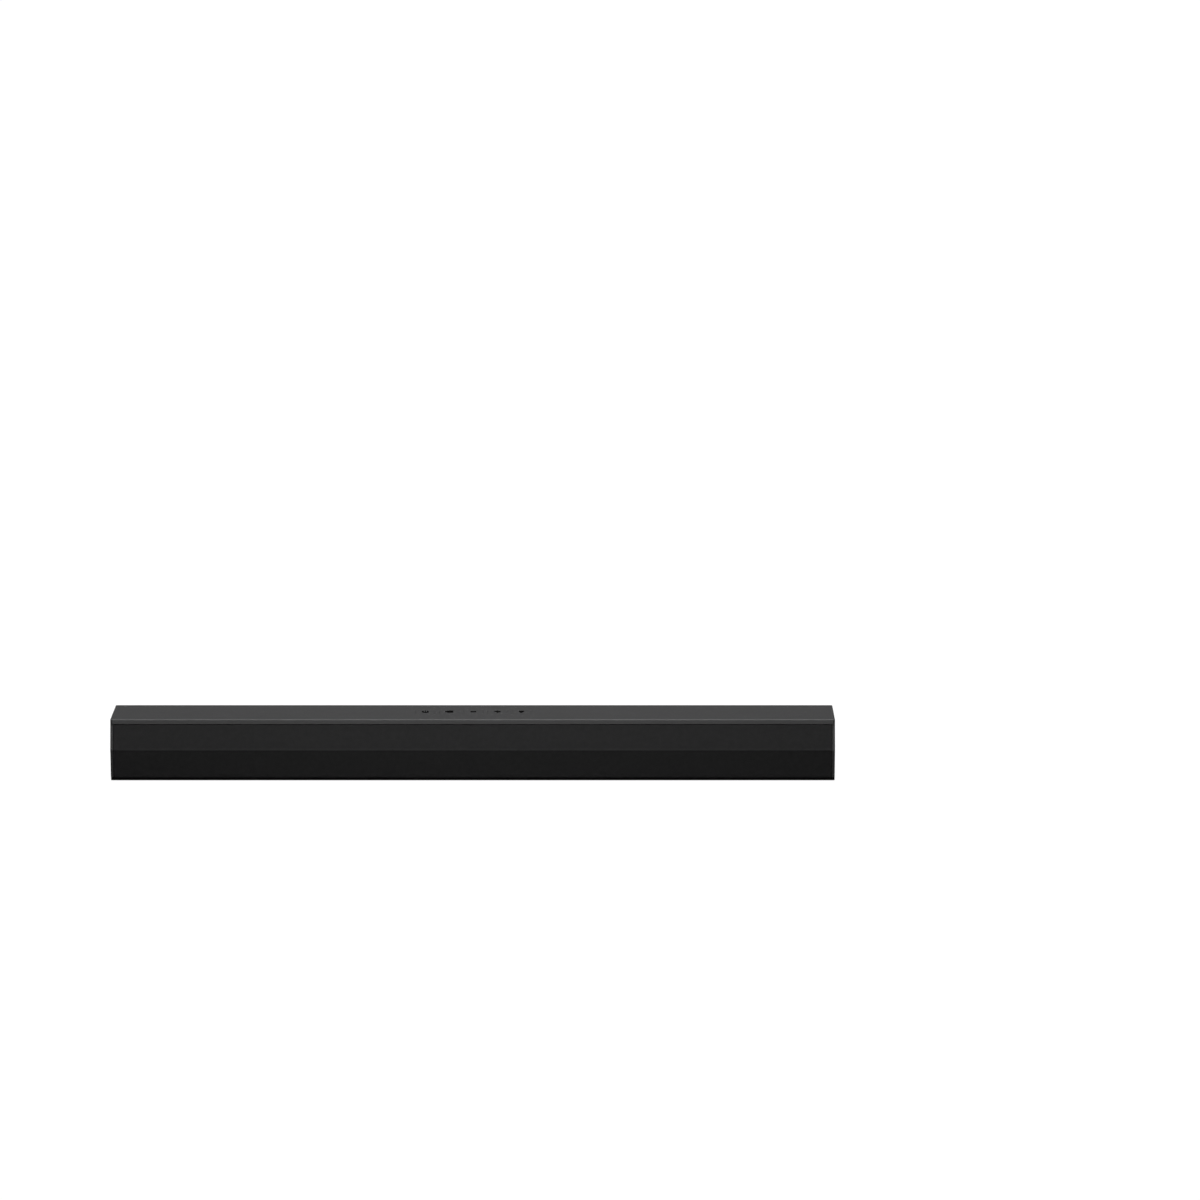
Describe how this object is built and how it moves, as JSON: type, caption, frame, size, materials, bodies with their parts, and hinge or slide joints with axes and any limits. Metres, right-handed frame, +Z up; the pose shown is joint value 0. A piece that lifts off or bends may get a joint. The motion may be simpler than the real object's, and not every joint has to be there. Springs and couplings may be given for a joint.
{
  "type": "soundbar",
  "caption": "Slim home-audio soundbar: cloth-fronted housing with top keys, two drivers, rear socket bay and feet.",
  "frame": {"origin": "middle of the footprint, on the surface that the feet stand on", "axes": "+X along the bar to the listener's right, -Y towards the listener, +Z up"},
  "size_m": [0.72, 0.087, 0.063],
  "materials": {
    "cover_plastic": "fine satin texture, dark grey",
    "key_plastic": "fine satin texture, dark grey, with a printed black mark",
    "cabinet_plastic": "moulded black with a fine spark texture",
    "frame_plastic": "black moulded, plain",
    "cloth": "fine knitted polyester, charcoal, stretched",
    "foot_rubber": "matte black",
    "brass": "turned",
    "screw_steel": "zinc plated",
    "board": "solder-mask green",
    "chip": "moulded epoxy",
    "heat_sink_metal": "extruded",
    "capacitor_sleeve": "shrink sleeve",
    "ferrite": "pressed ferrite",
    "module_board": "blue solder mask with a tinned shield",
    "header_nylon": "natural nylon",
    "socket_plastic": "black moulded",
    "socket_steel": "nickel plated shell",
    "silicone": "translucent grey silicone",
    "ribbon_film": "white film",
    "basket_metal": "black coated pressed steel",
    "surround_rubber": "butyl, satin black",
    "spider_cloth": "resin-dipped cotton",
    "cone_paper": "pressed paper, black",
    "dust_cap_paper": "pressed paper, black",
    "coil_copper": "enamelled copper on a thin former",
    "magnet_ferrite": "ground ferrite",
    "plate_steel": "zinc plated",
    "foam": "closed-cell foam",
    "wadding": "polyester wadding",
    "wire_sleeve": "PVC sleeve"
  },
  "bodies": {
    "housing": {"top_cover": "cover_plastic", "cabinet": "cabinet_plastic", "front_baffle": "frame_plastic", "grille_frame": "frame_plastic", "grille_cloth": "cloth", "jack_panel": "frame_plastic", "rubber_feet": "foot_rubber", "bracket_inserts": "brass", "case_screws": "screw_steel", "driver_screws": "screw_steel", "board_screws": "screw_steel", "key_board_screws": "screw_steel", "power_dome": "silicone", "source_dome": "silicone", "volume_down_dome": "silicone", "volume_up_dome": "silicone", "pairing_dome": "silicone", "key_board": "board", "key_ribbon": "ribbon_film", "main_board": "board", "processor": "chip", "amplifier_chip": "chip", "heat_sink": "heat_sink_metal", "capacitors": "capacitor_sleeve", "inductors": "ferrite", "wireless_module": "module_board", "board_headers": "header_nylon", "dc_jack": "socket_plastic", "hdmi_port": "socket_steel", "optical_port": "socket_plastic", "usb_port": "socket_steel", "audio_jack": "socket_plastic", "status_board": "board", "left_basket": "basket_metal", "left_surround": "surround_rubber", "left_spider": "spider_cloth", "left_top_plate": "plate_steel", "left_magnet": "magnet_ferrite", "left_yoke": "plate_steel", "right_basket": "basket_metal", "right_surround": "surround_rubber", "right_spider": "spider_cloth", "right_top_plate": "plate_steel", "right_magnet": "magnet_ferrite", "right_yoke": "plate_steel", "driver_gaskets": "foam", "damping_pads": "wadding", "speaker_wires": "wire_sleeve"},
    "power_button": {"power_key": "key_plastic"},
    "source_button": {"source_key": "key_plastic"},
    "volume_down_button": {"volume_down_key": "key_plastic"},
    "volume_up_button": {"volume_up_key": "key_plastic"},
    "pairing_button": {"pairing_key": "key_plastic"},
    "left_diaphragm": {"left_cone": "cone_paper", "left_dust_cap": "dust_cap_paper", "left_voice_coil": "coil_copper"},
    "right_diaphragm": {"right_cone": "cone_paper", "right_dust_cap": "dust_cap_paper", "right_voice_coil": "coil_copper"},
    "shutter": {"optical_shutter": "socket_plastic"}
  },
  "joints": [
    {"name": "power_press", "type": "slide", "parent": "housing", "child": "power_button", "axis": [0, 0, -1], "range_m": [0, 0.0008], "stiffness_N_per_m": 2500, "springref_m": -0.0002, "deforming": ["power_dome"]},
    {"name": "source_press", "type": "slide", "parent": "housing", "child": "source_button", "axis": [0, 0, -1], "range_m": [0, 0.0008], "stiffness_N_per_m": 2500, "springref_m": -0.0002, "deforming": ["source_dome"]},
    {"name": "volume_down_press", "type": "slide", "parent": "housing", "child": "volume_down_button", "axis": [0, 0, -1], "range_m": [0, 0.0008], "stiffness_N_per_m": 2500, "springref_m": -0.0002, "deforming": ["volume_down_dome"]},
    {"name": "volume_up_press", "type": "slide", "parent": "housing", "child": "volume_up_button", "axis": [0, 0, -1], "range_m": [0, 0.0008], "stiffness_N_per_m": 2500, "springref_m": -0.0002, "deforming": ["volume_up_dome"]},
    {"name": "pairing_press", "type": "slide", "parent": "housing", "child": "pairing_button", "axis": [0, 0, -1], "range_m": [0, 0.0008], "stiffness_N_per_m": 2500, "springref_m": -0.0002, "deforming": ["pairing_dome"]},
    {"name": "left_cone_travel", "type": "slide", "parent": "housing", "child": "left_diaphragm", "axis": [0, -1, 0], "range_m": [-0.0015, 0.0015], "stiffness_N_per_m": 1500, "deforming": ["left_surround", "left_spider"]},
    {"name": "right_cone_travel", "type": "slide", "parent": "housing", "child": "right_diaphragm", "axis": [0, -1, 0], "range_m": [-0.0015, 0.0015], "stiffness_N_per_m": 1500, "deforming": ["right_surround", "right_spider"]},
    {"name": "shutter_hinge", "type": "hinge", "parent": "housing", "child": "shutter", "pos_m": [0.008, 0.0305, 0.0192], "axis": [-1, 0, 0], "range_deg": [0, 78], "stiffness_Nm_per_rad": 0.002, "springref_deg": -20.05}
  ]
}
